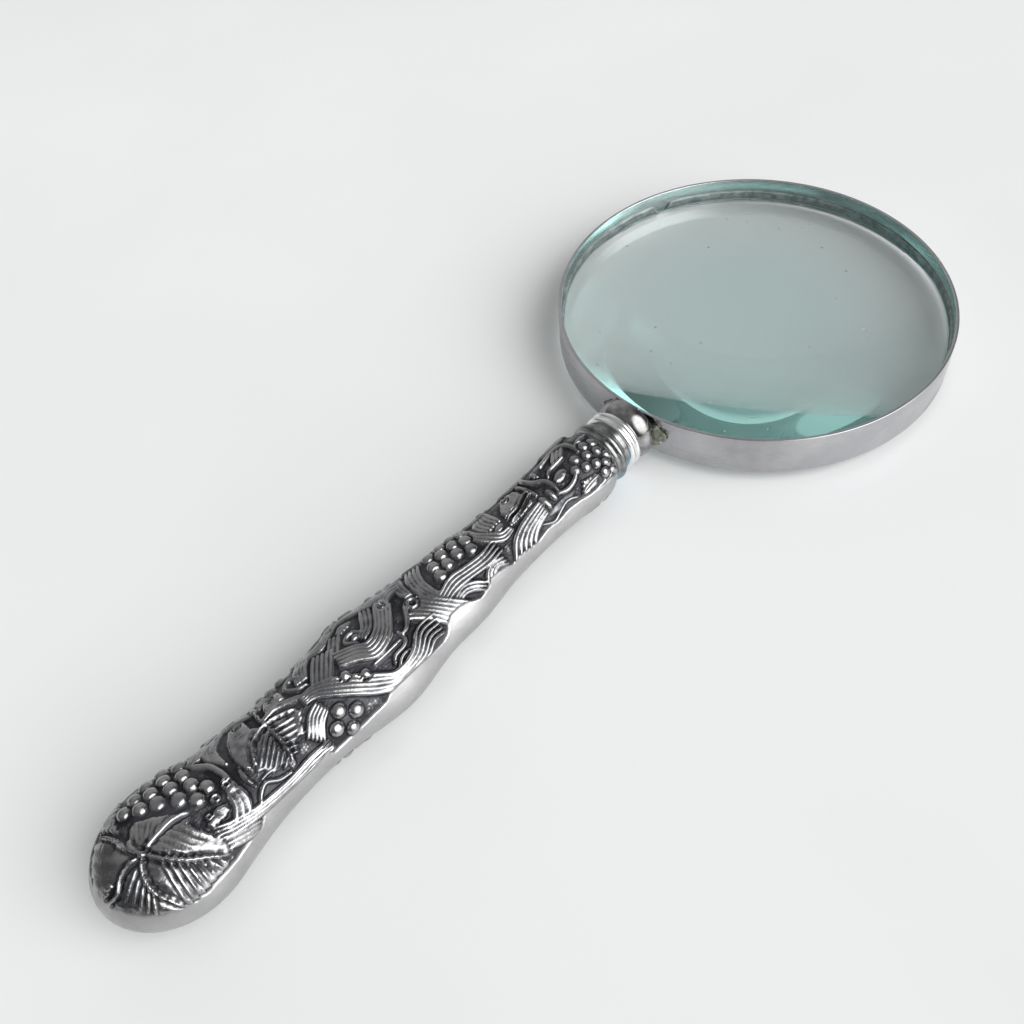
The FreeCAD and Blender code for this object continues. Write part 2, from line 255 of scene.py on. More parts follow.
def handle_silver():
    """Oxidised silver: grey high points, black recesses and a satin margin."""
    paint = Paint("oxidised_silver")
    margin = paint.attribute("margin")
    blotch = paint.patches(420, 5, 0.3, 0.7, -0.13, 0.13)
    bright = paint.remap(paint.maths("ADD", paint.attribute("shine"), blotch), 0.16, 0.74)
    tarnish = paint.mix(paint.patches(160, 3, 0.42, 0.62), grey(0.014, 0, 0.004), grey(0.055, 0, 0.008))
    high = paint.mix(paint.patches(120, 4, 0.35, 0.7), grey(0.40, 0.004), grey(0.26, 0, 0.012))
    satin = paint.mix(paint.patches(90, 5, 0.3, 0.72), grey(0.50, 0.004), grey(0.40, 0.004, 0.008))
    pits = paint.remap(paint.cells(900), 0.0, 0.22, 0.6, 0.0)
    pits = paint.maths("MULTIPLY", pits, paint.patches(300, 2, 0.60, 0.68))
    satin = paint.mix(pits, satin, (0.19, 0.16, 0.11, 1.0))
    brushed = paint.noise(30, 6, 0.7, paint.stretched(12, 90, 90))
    return paint.look(
        Base_Color=paint.mix(margin, paint.mix(bright, tarnish, high), satin),
        Metallic=paint.remap(paint.maths("ADD", bright, margin), 0.0, 0.6, 0.55, 1.0),
        Roughness=paint.maths("MULTIPLY_ADD", margin, 0.12, paint.remap(bright, 0, 1, 0.42, 0.19)),
        Normal=paint.bump(paint.noise(1900, 3), 0.00007, 0.7, Normal=paint.bump(brushed, 0.00004, 0.5)))


def band_silver():
    """Satin plate with fine scratches along the band, duller on its inner wall, with a painted teal
    reflection of the glass there.
    """
    paint = Paint("satin_plate")
    inner = paint.attribute("inner")
    streak = paint.noise(60, 6, 0.7, paint.stretched(1, 1, 22))
    tone = paint.mix(paint.patches(70, 4, 0.3, 0.7), grey(0.50, 0, 0.01), grey(0.40, 0.004, 0.02))
    stain = paint.remap(paint.noise(38, 5, 0.65), 0.55, 0.75, 0.0, 0.5)
    tone = paint.mix(stain, tone, (0.30, 0.29, 0.30, 1.0))
    # The inner wall's pale teal colour is a painted reflection of the lit green glass; the wall is also made
    # duller and less metallic.
    film = paint.mix(paint.patches(45, 4, 0.3, 0.7), (0.50, 0.54, 0.54, 1.0), (0.66, 0.69, 0.69, 1.0))
    return paint.look(Base_Color=paint.mix(inner, tone, film),
        Metallic=paint.maths("MULTIPLY_ADD", inner, -0.15, 1.0),
        Roughness=paint.remap(streak, 0.3, 0.7, 0.17, 0.30),
        Normal=paint.bump(streak, 0.00003, 0.35))


def polished(name, tone, tarnish, low, high):
    """Polished plate with a light tarnish film, and a roughness from low to high."""
    paint = Paint(name)
    film = paint.remap(paint.noise(220, 5, 0.6), 0.35, 0.68)
    return paint.look(Base_Color=paint.mix(film, tone, tarnish), Metallic=1.0,
        Roughness=paint.patches(500, 4, 0.3, 0.7, low, high),
        Normal=paint.bump(paint.noise(700, 3), 0.00002, 0.3))


def ferrule_silver():
    """Dark tarnished plate with a blue film in patches."""
    paint = Paint("tarnished_ferrule")
    plain = paint.mix(paint.patches(420, 4, 0.35, 0.7), grey(0.30), grey(0.17))
    film = paint.remap(paint.noise(90, 3, 0.5), 0.50, 0.60)
    return paint.look(Base_Color=paint.mix(film, plain, (0.16, 0.40, 0.55, 1.0)), Metallic=1.0,
        Roughness=paint.patches(600, 4, 0.3, 0.7, 0.12, 0.26),
        Normal=paint.bump(paint.noise(900, 3), 0.00003, 0.5))


def glass():
    """Green-tinted glass with dust specks and a matt ground edge."""
    paint = Paint("green_glass")
    edge = paint.attribute("edge")
    dust = paint.remap(paint.cells(170), 0.02, 0.08, 1.0, 0.0)
    specks = paint.maths("MULTIPLY", dust, paint.patches(60, 3, 0.46, 0.54))
    tone = paint.mix(specks, grey(1.0), (0.30, 0.29, 0.24, 1.0))
    opaque = paint.maths("MAXIMUM", specks, paint.maths("MULTIPLY", edge, 0.9))
    soak = add_node(paint.tree, "VolumeAbsorption", {"Color": (0.30, 0.87, 0.81, 1.0), "Density": 11.0})
    join(paint.tree, paint.tree.nodes["Material Output"].inputs["Volume"], soak.outputs["Volume"])
    return paint.look(Base_Color=paint.mix(edge, tone, (0.86, 0.90, 0.88, 1.0)), IOR=1.52,
        Roughness=paint.maths("MULTIPLY", opaque, 0.7),
        Transmission_Weight=paint.maths("SUBTRACT", 1.0, opaque))


def dull_metal(name, red, green, blue, scale=300):
    """Unpolished metal: solder, inner rings and hidden steel."""
    paint = Paint(name)
    mottle = paint.remap(paint.noise(scale, 5, 0.65), 0.3, 0.7)
    darker = (red * 0.45, green * 0.45, blue * 0.45, 1.0)
    return paint.look(Base_Color=paint.mix(mottle, darker, (red, green, blue, 1.0)), Metallic=0.85,
        Roughness=paint.patches(scale * 2, 3, 0.3, 0.7, 0.38, 0.6),
        Normal=paint.bump(mottle, 0.00006, 0.7))


def cement():
    paint = Paint("cement_filler")
    grain = paint.noise(1500)
    return paint.look(Base_Color=paint.mix(grain, (0.42, 0.37, 0.30, 1.0), (0.62, 0.57, 0.48, 1.0)),
        Roughness=0.9, Normal=paint.bump(grain, 0.0001, 0.8))


def table_top():
    """Pale painted board, slightly glossy."""
    paint = Paint("pale_board")
    return paint.look(Base_Color=paint.mix(paint.patches(6, 3, 0.35, 0.65), grey(0.85), grey(0.88)),
        Roughness=paint.patches(30, 4, 0.3, 0.7, 0.28, 0.36))


# ---- the handle's form, measured on the CAD shells ----

def smooth_curve(stations, values):
    """A function through the values, with continuous slope."""
    slopes = np.gradient(values, stations)

    def curve(x):
        x = np.clip(x, stations[0], stations[-1])
        cell = np.clip(np.searchsorted(stations, x, side="right") - 1, 0, len(stations) - 2)
        width = stations[cell + 1] - stations[cell]
        t = (x - stations[cell]) / width
        share = smooth_step(t, 0, 1)
        bend = t * (1 - t) * width * ((1 - t) * slopes[cell] - t * slopes[cell + 1])
        return values[cell] * (1 - share) + values[cell + 1] * share + bend

    return curve


def measure_handle():
    """Reaches with the handle's half width and half depth at each."""
    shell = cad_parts["handle_front_shell"]
    tree = BVHTree.FromObject(shell, bpy.context.evaluated_depsgraph_get())
    stations = np.linspace(MOUTH_REACH + 0.01, BUTT_REACH - 2, 48)
    widths = [-tree.ray_cast(at_reach(reach, -100, 0.02), Vector((0, 1, 0)))[0].y for reach in stations]
    crests = [tree.ray_cast(at_reach(reach, 0, 100), Vector((0, 0, -1)))[0].z for reach in stations]
    return stations, np.array(widths) / MM, (np.array(crests) - AXIS_Z) / MM


STATIONS, WIDTHS, DEPTHS = measure_handle()
HALF_WIDTH = smooth_curve(STATIONS, WIDTHS)
HALF_DEPTH = smooth_curve(STATIONS, DEPTHS)
DOME_REACH = STATIONS[int(np.argmax(WIDTHS))]
DOME_LENGTH = BUTT_REACH - DOME_REACH


def ellipse_arc(horizontal, vertical, angle, steps=16):
    """Arc length from an ellipse's crest to a parameter angle."""
    parts = [angle * (number + 0.5) / steps for number in range(steps)]
    return sum(np.hypot(horizontal * np.cos(part), vertical * np.sin(part)) for part in parts) * angle / steps


def body_skin(around, rows):
    """The handle from its mouth to its dome: points, normals and ornament places."""
    reach = np.linspace(MOUTH_REACH, DOME_REACH, rows)[:, None]
    width, depth = HALF_WIDTH(reach), HALF_DEPTH(reach)
    ones = np.ones_like(around)
    points = np.stack([reach * ones, width * np.sin(around), depth * np.cos(around)], -1)
    places = np.stack([reach * ones, ellipse_arc(width, depth, around * np.ones_like(reach))], -1)
    slope_w = np.gradient(width[:, 0], reach[:, 0])[:, None]
    slope_d = np.gradient(depth[:, 0], reach[:, 0])[:, None]
    lean = -(slope_w * depth * np.sin(around) ** 2 + slope_d * width * np.cos(around) ** 2)
    return points, np.stack([lean, depth * np.sin(around), width * np.cos(around)], -1), places


def dome_skin(around, rows):
    """The same for the butt's dome, a quarter of an ellipsoid."""
    width, depth = HALF_WIDTH(DOME_REACH), HALF_DEPTH(DOME_REACH)
    tilt = np.linspace(0, pi / 2, rows + 1)[1:, None]
    x = DOME_LENGTH * np.sin(tilt) * np.cos(around)
    y = width * np.sin(around) * np.ones_like(tilt)
    z = depth * np.cos(tilt) * np.cos(around)
    bearing = np.arctan2(x, y)
    span = 1 / np.sqrt((np.cos(bearing) / width) ** 2 + (np.sin(bearing) / DOME_LENGTH) ** 2)
    distance = ellipse_arc(span, depth, np.arcsin(np.clip(np.hypot(x, y) / span, 0, 1)))
    places = np.stack([DOME_REACH + distance * np.sin(bearing), distance * np.cos(bearing)], -1)
    normals = np.stack([x / DOME_LENGTH ** 2, y / width ** 2, z / depth ** 2], -1)
    return np.stack([DOME_REACH + x, y, z], -1), normals, places


def handle_skin(body_rows=400, dome_rows=72, columns=190):
    """The upper half of the handle as a grid. Points are (reach, across towards -Y, rise)."""
    share = np.linspace(-1, 1, columns)
    around = pi / 2 * (0.75 * share + 0.25 * share ** 3)
    parts = zip(body_skin(around, body_rows), dome_skin(around, dome_rows))
    points, normals, places = (np.vstack(pair) for pair in parts)
    return points, normals / np.linalg.norm(normals, axis=-1, keepdims=True), places


# ---- the ornament: heights over (reach, across) ----

GROUND = -0.40
LEVEL = 0.08


class Relief:
    """A height for every point of the handle's skin. A stroke's top is its height at the middle."""

    def __init__(self, places):
        self.shape = places.shape[:2]
        self.skin = places.reshape(-1, 2)
        self.height = np.full(len(self.skin), GROUND)

    def start_at(self, reach):
        """What is drawn next has its reaches measured from here."""
        self.places = self.skin - (reach, 0)

    def near(self, points, reach):
        low, high = np.min(points, 0) - reach, np.max(points, 0) + reach
        return np.flatnonzero(np.all((self.places > low) & (self.places < high), axis=1))

    def about(self, reach, across, radius, margin):
        """The skin's points round a place, with their distances in radii."""
        place = np.array([reach, across], float)
        chosen = self.near(place[None], radius * margin)
        return chosen, np.hypot(*(self.places[chosen] - place).T) / radius

    def lift(self, chosen, top, share):
        """Raises points by a share of the way from the ground to the top."""
        self.height[chosen] = np.maximum(self.height[chosen], GROUND + (top - GROUND) * share)

    def along(self, chosen, path):
        """The share along a path of its nearest point, and the signed distance aside."""
        points = self.places[chosen]
        best = np.full(len(points), 1e9)
        share, aside = np.zeros(len(points)), np.zeros(len(points))
        lengths = np.hypot(*np.diff(path, axis=0).T)
        marks = np.concatenate([[0], np.cumsum(lengths)]) / lengths.sum()
        for number, (start, step) in enumerate(zip(path, np.diff(path, axis=0))):
            offset = points - start
            t = np.clip(offset @ step / (step @ step), 0, 1)
            distance = np.hypot(*(offset - t[:, None] * step).T)
            nearer = distance < best
            side = np.sign(step[0] * offset[nearer, 1] - step[1] * offset[nearer, 0])
            best[nearer] = distance[nearer]
            aside[nearer] = distance[nearer] * side
            share[nearer] = marks[number] + t[nearer] * (marks[number + 1] - marks[number])
        return share, aside

    def strand(self, points, width, ridges=3, top=0.5):
        """A grooved branch that follows a smooth line and narrows at both ends."""
        path = smooth_path(points)
        chosen = self.near(path, width / 2)
        share, aside = self.along(chosen, path)
        narrow = 0.3 * (1 - smooth_step(share, 0, 0.25) + smooth_step(share, 0.75, 1))
        across = aside / (width / 2 * (1 - narrow))
        inside = np.abs(across) < 1
        across = across[inside]
        groove = np.abs(np.sin(pi * ridges * (across + 1) / 2)) ** 0.5
        crown = (1 - np.abs(across) ** 4) ** 0.6
        self.lift(chosen[inside], top, crown * (0.40 + 0.60 * groove))

    def stem(self, points, width, top=0.55):
        """A plain round stalk."""
        self.strand(points, width, 1, top)

    def bundle(self, first, last, ridges, top=0.5):
        """Ridges side by side, from one edge line to another."""
        first, last = np.array(first, float), np.array(last, float)
        spacing = np.mean(np.hypot(*(last - first).T)) / (ridges - 1)
        for share in np.linspace(0, 1, ridges):
            self.stem(first + (last - first) * share, spacing * 1.4, top)

    def grapes(self, places, radius, top=0.78):
        """Berries, each with a narrow trough round it."""
        for place in places:
            chosen, distance = self.about(*place, radius, 1.3)
            inside, trough = distance < 1, (distance >= 1) & (distance < 1.2)
            ball = np.sqrt(1 - distance[inside] ** 2)
            self.lift(chosen[inside], top, 0.2 + 0.8 * ball)
            self.height[chosen[trough]] = np.minimum(self.height[chosen[trough]], GROUND + 0.1)

    def eye(self, reach, across, radius, top=0.6):
        """A ring with a hollow in the middle."""
        chosen, distance = self.about(reach, across, radius, 1.15)
        inside = distance < 1.1
        ring = np.exp(-((distance[inside] - 0.68) / 0.3) ** 2)
        self.height[chosen[inside]] = GROUND + 0.1 + (top - GROUND - 0.1) * ring

    def pad(self, reach, across, radii, turn=0.0, top=0.45):
        """A smooth oval lobe."""
        chosen = self.about(reach, across, max(radii), 1)[0]
        x, y = (self.places[chosen] - (reach, across)).T
        distance = np.hypot((x * cos(turn) + y * sin(turn)) / radii[0],
            (y * cos(turn) - x * sin(turn)) / radii[1])
        inside = distance < 1
        self.lift(chosen[inside], top, (1 - distance[inside] ** 4) ** 0.6)

    def blade(self, outline, top=0.3, tooth=1.3, bite=0.35):
        """A lobe of a leaf inside an outline, with a toothed edge and short cuts."""
        outline = np.array(outline + outline[:1], float)
        chosen = self.near(outline, 0.1)
        chosen = chosen[inside_outline(self.places[chosen], outline)]
        share, aside = self.along(chosen, outline)
        length = np.hypot(*np.diff(outline, axis=0).T).sum()
        saw = (share * max(round(length / tooth), 1)) % 1.0
        depth = np.abs(aside) - bite * saw
        cut = np.maximum(np.cos(tau * saw), 0) ** 3 * np.exp(-np.abs(aside) / 1.5)
        rumple = 0.05 * np.sin(self.skin[chosen] @ (2.1, 1.3))
        height = GROUND + (top - GROUND + rumple) * smooth_step(depth, 0, 0.5) - 0.14 * cut
        chosen, height = chosen[depth > 0], height[depth > 0]
        self.height[chosen] = np.maximum(self.height[chosen], height)

    def vein(self, points, width=0.7, top=0.6, cut=0.22):
        """A raised line over a leaf, with a cut either side."""
        path = smooth_path(points)
        chosen = self.near(path, width * 2)
        share, aside = self.along(chosen, path)
        keep = 1 - smooth_step(share, 0.8, 1.0)
        ridge = keep * np.exp(-(aside / (width * 0.5)) ** 2)
        trough = keep * np.exp(-((np.abs(aside) - width) / (width * 0.4)) ** 2)
        base = self.height[chosen]
        self.height[chosen] = base + ridge * np.maximum(top - base, 0) - cut * trough

    def ribs(self, start, end, tips, top=0.45):
        """A row of short ribs, from places on one line to places on another."""
        start, end = np.array(start), np.array(end)
        for share in np.linspace(0, 1, tips):
            first = start[0] * (1 - share) + start[1] * share
            last = end[0] * (1 - share) + end[1] * share
            self.vein([first, (first + last) / 2, last], 0.45, top, 0.16)

    def texture(self):
        """Punched dots on the ground, and a slight unevenness."""
        a, b = self.skin.T
        pitch = 0.62
        cell = np.floor(self.skin / pitch)
        wander = np.sin(cell @ np.array([[12.99, 39.35], [78.23, 11.14]])) * 43.7
        centre = (cell + 0.5 + 0.28 * np.sin(wander)) * pitch
        dot = np.exp(-(np.hypot(*(self.skin - centre).T) / 0.17) ** 2)
        low = 1 - smooth_step(self.height, GROUND + 0.02, GROUND + 0.25)
        self.height += 0.16 * dot * low
        self.height += 0.018 * np.sin(5.1 * a + 2 * np.sin(3.7 * b)) * np.sin(4.3 * b + a)


def inside_outline(points, outline):
    """Which points lie inside a closed outline."""
    inside = np.zeros(len(points), bool)
    x, y = points.T
    for (x1, y1), (x2, y2) in zip(outline, outline[1:]):
        if y1 != y2:
            inside ^= ((y1 > y) != (y2 > y)) & (x < (x2 - x1) * (y - y1) / (y2 - y1) + x1)
    return inside


# The ornament's edge along the handle: (reach, distance from the crest). Outside it is margin.
MARGIN_EDGE = [(64.5, 10.3), (69, 10.6), (72, 10.4), (75, 9.8), (78, 8.9), (81.5, 8.3), (85.5, 8.7),
    (88.5, 8.1), (92, 8.9), (95, 8.7), (98, 8.3), (100, 8.7), (102, 8.1), (104, 7.7), (107, 7.7),
    (108.3, 8.7), (111.5, 9.5), (114.5, 8.3), (116.7, 7.7), (119.5, 7.7), (121, 8.7), (122.3, 10.4),
    (124, 11.1), (128, 11.3), (135, 11.4), (140, 11.5), (141.7, 12.4), (147.5, 12.6), (155, 12.6),
    (155.9, 11), (160, 11.6), (172.5, 11.6), (174, 13.3), (177.7, 14), (181, 15), (188, 15.8)]
# On the dome the edge is a distance from the dome's own crest, towards the side and the tip.
DOME_EDGE = (15.8, 16.2)
MARGIN_SHIFT = 5.0


def inside_margin(places):
    """Distance inside the ornament's edge, negative in the margin."""
    reach, across = places[:, 0], places[:, 1]
    edge = np.array(MARGIN_EDGE)
    shifted = np.where(across < 0, reach + MARGIN_SHIFT, reach)
    body = np.interp(shifted, edge[:, 0], edge[:, 1]) - np.abs(across)
    bearing = np.arctan2(reach - DOME_REACH, np.abs(across))
    rim = DOME_EDGE[0] + (DOME_EDGE[1] - DOME_EDGE[0]) * np.sin(bearing)
    rim = rim + 0.35 * np.abs(np.sin(bearing * 15)) - 0.15
    return np.where(reach > DOME_REACH, rim - np.hypot(reach - DOME_REACH, across), body)


def draw_neck(art):
    """Top grape cluster, its leaves, a looped vine and its binding."""
    art.blade([(10.3, 7), (13, 6.2), (15.4, 5.6), (16.6, 7.4), (17.8, 8.8), (15.4, 9.6), (12, 9.6)], 0.42,
        tooth=1.1)
    art.vein([(10.6, 7.8), (13.4, 7.6), (16.8, 8)], 0.5)
    art.blade([(5, 8), (8.2, 7.9), (11.2, 9.6), (15, 10.2), (10.6, 11), (5.2, 10.6)], 0.3, tooth=0.9)
    art.pad(18, 1.6, (2.3, 1.35), 0.15, 0.5)
    art.blade([(15.8, 1.4), (17.4, 0.2), (20, 0.8), (20.4, 2.4), (18, 3)], 0.55, tooth=0.8)
    art.stem([(10.2, 0.2), (10.4, -3.2), (11.8, -4.9), (15, -5.2), (18.4, -4.4)], 1.5)
    art.bundle([(11.8, -3.6), (14, -1.8)], [(13.6, -4.6), (16.2, -2.2)], 3, 0.35)
    art.stem([(13.8, -1.2), (16, -1.3), (18.4, -1.2), (20, -0.2)], 1.2, 0.6)
    art.stem([(5, -2.2), (8, -1.6), (10.4, -0.4)], 1.6, 0.35)
    art.strand([(22.8, -8.4), (23.7, -4.6), (23.1, -2), (21.6, -0.5), (20.9, 1.2), (21.1, 4.2)], 1.7, 1,
        0.62)
    art.blade([(20.2, -6.2), (22.3, -4.8), (22.4, -2.8), (20.7, -1.9), (19.9, -3.8)], 0.3)
    art.strand([(24.4, -8), (25.4, -5.6), (25.4, -2.8), (25.2, 0.8)], 1.2, 2, 0.25)
    art.grapes([(12.7, 1.4), (9.8, 2.5), (7, 3.2), (12.1, 4.4), (9.5, 5.5), (7.3, 6.8), (6.2, 0.9),
        (8.6, 0.4), (5.4, 5.2), (14.6, 3.3), (6, 9.2), (9, 8.4)], 1.32, 0.72)
    art.stem([(14.8, 3.6), (16.4, 4.6), (19, 5), (21.4, 4.2)], 1.5, 0.7)
    art.pad(22.8, 3.2, (1, 2), 0.1, 0.68)
    art.pad(25.1, 3.6, (1, 2), 0.1, 0.68)
    art.pad(22, 6.3, (4.6, 1), 0, -0.1)


def draw_upper_leaf(art):
    """Third leaf with its hole, and the fan of grooves below it."""
    art.bundle([(6.4, 2.6), (10, 3.1), (14, 4), (17.2, 5.8), (19.6, 8.8)], [(6.4, 5.4), (9, 6), (11.2, 6.9),
        (12.6, 8), (13.4, 9.2)], 5, 0.5)
    art.stem([(-2, 8), (-0.4, 7.1), (1.4, 6.8), (4, 7.6), (6.2, 8.2), (9.4, 6.6)], 0.9, 0.15)
    art.blade([(6.4, -1.2), (6.8, -4.6), (9.4, -5.9), (12.2, -4.4), (14.4, -2), (14.6, 0.2), (11, 0.9)], 0.5,
        tooth=1.6)
    art.blade([(6.4, 0), (10.6, 1), (15.2, 0.9), (15.4, 2.7), (10.6, 2.5), (6.6, 2)], 0.15, tooth=0.8)
    for lift in (0, 1.1):
        art.vein([(5.8, -1.9 + lift), (8.7, -0.8 + lift), (11.2, 0.0 + lift), (14.8, 0.3 + lift)], 0.5, 0.6)
    art.eye(10.7, -4.1, 1.15)
    art.bundle([(24.6, -8.6), (23.9, -4.4), (23.2, -1), (21.3, 1.6), (18.4, 3.5), (15.2, 3.1)],
        [(22.9, -8.6), (22.2, -4.6), (21.4, -1.4), (19.6, 0.6), (17.9, 2), (15.6, 2.1)], 3, 0.55)
    art.pad(17.2, 0.7, (1.7, 0.9), 0.2, 0.45)
    art.bundle([(15.2, -6.6), (15.9, -3.8), (15.6, -1)], [(18.6, -6.6), (20.4, -3.4), (19.6, -0.6)], 5, 0.15)


def draw_middle_grapes(art):
    """Second grape cluster, over three long grooves that leave to the right."""
    art.bundle([(1.2, 1.9), (5, 2.6), (10, 2.4), (14, 2), (18.4, 3.4)], [(0.6, 4.8), (5, 5.2), (10, 4.9),
        (14.2, 4.7), (18, 5.4)], 4, 0.45)
    art.bundle([(1.6, 6), (4.6, 5.6), (6.8, 6.6), (8.2, 8.4)], [(1.4, 7.8), (3.6, 7), (5.2, 7.4),
        (6.2, 8.4)], 3, 0.4)
    art.bundle([(8.2, 8), (10.4, 6.2), (13.4, 5.3), (17, 6.2)], [(9.8, 8.8), (11.6, 7.4), (13.8, 6.7),
        (16, 7.2)], 3, 0.35)
    art.grapes([(5.3, -0.1), (8.1, -1.5), (6.9, -4.4), (11.5, -1.1), (10.4, -4.4), (13.9, -3), (4.4, -2.9),
        (8.9, -7), (12.6, -6.6), (5.6, -7.6), (14.6, 0)], 1.55)


def draw_crossing(art):
    """Arcs, a scroll and the wide bundle below it."""
    art.bundle([(5.4, -6.8), (7.2, -4), (8.2, -1.2), (8.2, 1.6), (7.6, 3)], [(8.4, -7.6), (10.2, -4.2),
        (10.9, -1), (10.7, 1.4), (9.8, 3.2)], 4)
    art.bundle([(10.4, -7.6), (11.6, -4.4), (11.9, -1.6)], [(12.4, -7), (13.4, -4.4), (13.2, -1.8)], 3, 0.25)
    art.bundle([(12.4, -0.2), (9.4, 3), (6.4, 6.4), (4.2, 8.6)], [(16.4, 2.8), (13.6, 5), (11.6, 7.6),
        (10.4, 9.4)], 6)
    art.stem([(13.8, -0.9), (15.4, 0.4), (16.8, 2.4), (18.4, 4), (20, 4.4)], 1.4, 0.7)
    art.stem([(20.3, 3.4), (20.1, 5.4), (21.4, 6.5), (24.2, 6.9), (25.4, 8.2)], 1, 0.6)
    art.stem([(20.9, 7.6), (23.2, 7.9), (25.2, 9.2)], 0.8, 0.45)
    art.eye(13.5, 0.6, 1.55, 0.75)


def draw_branches(art):
    """The two thick branches that cross the middle, and the nest between them."""
    art.bundle([(9.4, -7.4), (11.2, -4), (13.2, -1.4), (15.8, -0.2)], [(11.4, -7.6), (13, -4.6),
        (14.6, -2.4), (16.4, -1.4)], 3, 0.35)
    art.bundle([(-0.6, -8.6), (2.8, -8.4), (6.4, -7), (8.6, -5.6)], [(2.6, -5.4), (4.6, -5.2), (6.6, -4.2),
        (7.6, -2.8)], 4, 0.4)
    art.bundle([(9, -5.4), (11, -2.4), (13.4, 0.1), (16.4, 1), (18.6, -0.4), (22.4, -2.4)], [(6.6, -2.8),
        (9.4, 0.6), (12.4, 3.4), (16.8, 4.4), (20, 2.4), (23.4, 0.6)], 5, 0.6)
    art.pad(8, -3.9, (2.4, 1.9), 0.9, 0.62)
    art.eye(8.1, -3.8, 0.85, 0.62)
    art.stem([(15, -1.4), (16.6, -3.6), (19.2, -2.8), (17.4, -0.6)], 1, 0.45)
    art.pad(17, -2.1, (1, 0.7), 0.2, 0.45)
    art.blade([(13.6, -7.2), (17.2, -8.4), (19.8, -6.4), (18.4, -5), (15.4, -5.4)], 0.3, tooth=0.8)
    art.bundle([(18.6, -5.6), (21, -2.8), (22.4, -0.8)], [(20.2, -6.6), (22.4, -4), (23.6, -2.4)], 3, 0.3)
    art.bundle([(22, -3.6), (24.6, -0.6), (27, 1.8)], [(25.2, -5.8), (28.2, -2.4), (30.2, 0.2)], 5, 0.55)
    art.bundle([(2.6, 5.2), (7, 5.6), (11, 8.6), (16, 9.4), (19.4, 7.2), (23.2, 3.8), (26.6, 1.2),
        (30, -0.4), (33.2, -0.6)], [(2.8, 9.6), (5.8, 9.6), (9.6, 11.6), (17, 12), (21.4, 10), (25, 6.8),
        (28.4, 3.8), (31, 1.8), (33.2, 1.4)], 5, 0.58)
    art.stem([(11, 5), (14.6, 5.2), (18.4, 5.2)], 1, 0.15)


def draw_lower_grapes(art):
    """Grape bunch by the edge, a fan and the curls at the crest."""
    art.bundle([(11.6, 2.6), (14.4, 3.6), (17.2, 6.4)], [(11, 5.2), (13.2, 6.4), (15.4, 9.2)], 5, 0.42)
    art.bundle([(14.8, 9.6), (19, 9.4), (25, 9.9), (32, 9.7), (37, 8.8), (40.6, 7.6)], [(14.4, 11.6),
        (18.6, 11.3), (25, 11.6), (32, 11.5), (37.4, 10.8), (41, 9.8)], 4, 0.5)
    art.bundle([(4.6, -8.4), (7.2, -6.4), (9.2, -3.4)], [(7.6, -9.4), (9.8, -7), (11.4, -3.8)], 4, 0.35)
    art.stem([(10, -4.8), (11.8, -6.4), (13.6, -5), (12.4, -2.8), (10.2, -1.8)], 1.2)
    art.strand([(11.6, 0), (15, -1.9), (18, -3.1), (20.6, -2.6)], 1.6, 2)
    art.grapes([(4.1, 2.7), (1, 5.3)], 1.15)
    art.grapes([(9.6, 6.8), (6.9, 9.2), (12, 9.2)], 1.6)
    art.grapes([(9.5, 11.5)], 1.45)


def draw_lower_leaf(art):
    """Second leaf: smooth lobes with holes above, ribbed blades below."""
    hub = (11.2, -1.7)
    art.blade([hub, (8.5, -1.2), (5.4, 0), (3.4, 1.2), (5.6, 3.6), (6.6, 6), (9, 5.4), (10.2, 8), (11.4, 7)],
        0.22, tooth=1.5, bite=0.5)
    art.blade([hub, (11.4, 7), (12.9, 9.6), (14.4, 7.2), (16.4, 7.6), (17.6, 5.6), (19, 5.6), (18.4, 3.2),
        (15.8, 0.1)], 0.22, tooth=1.5, bite=0.5)
    art.blade([hub, (13.2, -3.4), (13, -6.4), (14.6, -8.2), (17, -7), (19, -4.2), (20.2, -1), (19.9, 3),
        (18.6, 4.6), (17.2, 1.6), (14.6, -1)], 0.5, tooth=2.6, bite=0.15)
    art.blade([hub, (10, -3.8), (9, -6.6), (7, -8), (4.4, -6.2), (4.4, -3.4), (7.6, -2.2)], 0.5, tooth=2.6,
        bite=0.15)
    art.ribs([(11, 0.5), (11.6, 6.4)], [(6.2, 1.6), (10, 7.2)], 6)
    art.ribs([(11.9, 0), (12.6, 6.6)], [(17.6, 4.6), (14.6, 8)], 6)
    art.eye(15.1, -6, 0.95, 0.5)
    art.eye(7, -5.6, 0.9, 0.5)
    art.pad(15.6, -3.2, (1.9, 0.35), 0, 0.62)
    art.vein([(10.2, -10), (10.8, -5.4), hub, (11.2, 2.5), (11.9, 7.2), (13, 9.8)], 0.85, 0.7)
    art.vein([hub, (8.5, -1.1), (4.6, 0.6)], 0.75, 0.65)
    art.vein([hub, (13.6, -1.1), (15.8, 0.2), (18.2, 4)], 0.75, 0.65)
    art.bundle([(17.6, -9), (20.6, -6), (21.4, -3.4), (21.2, -0.8)], [(21, -9), (22.8, -6.4), (23.2, -4.4),
        (22.4, -2.2)], 4, 0.35)
    art.stem([(13.6, 9), (16.2, 8.6), (18.4, 7.3), (20.2, 8.1), (21.4, 9.4)], 1.1, 0.55)
    art.stem([(15.2, 6.4), (17, 6.2), (18.8, 6.4)], 0.8, 0.25)
    art.stem([(20.2, 1.6), (20.6, 4), (20.2, 6.6)], 0.9, 0.3)


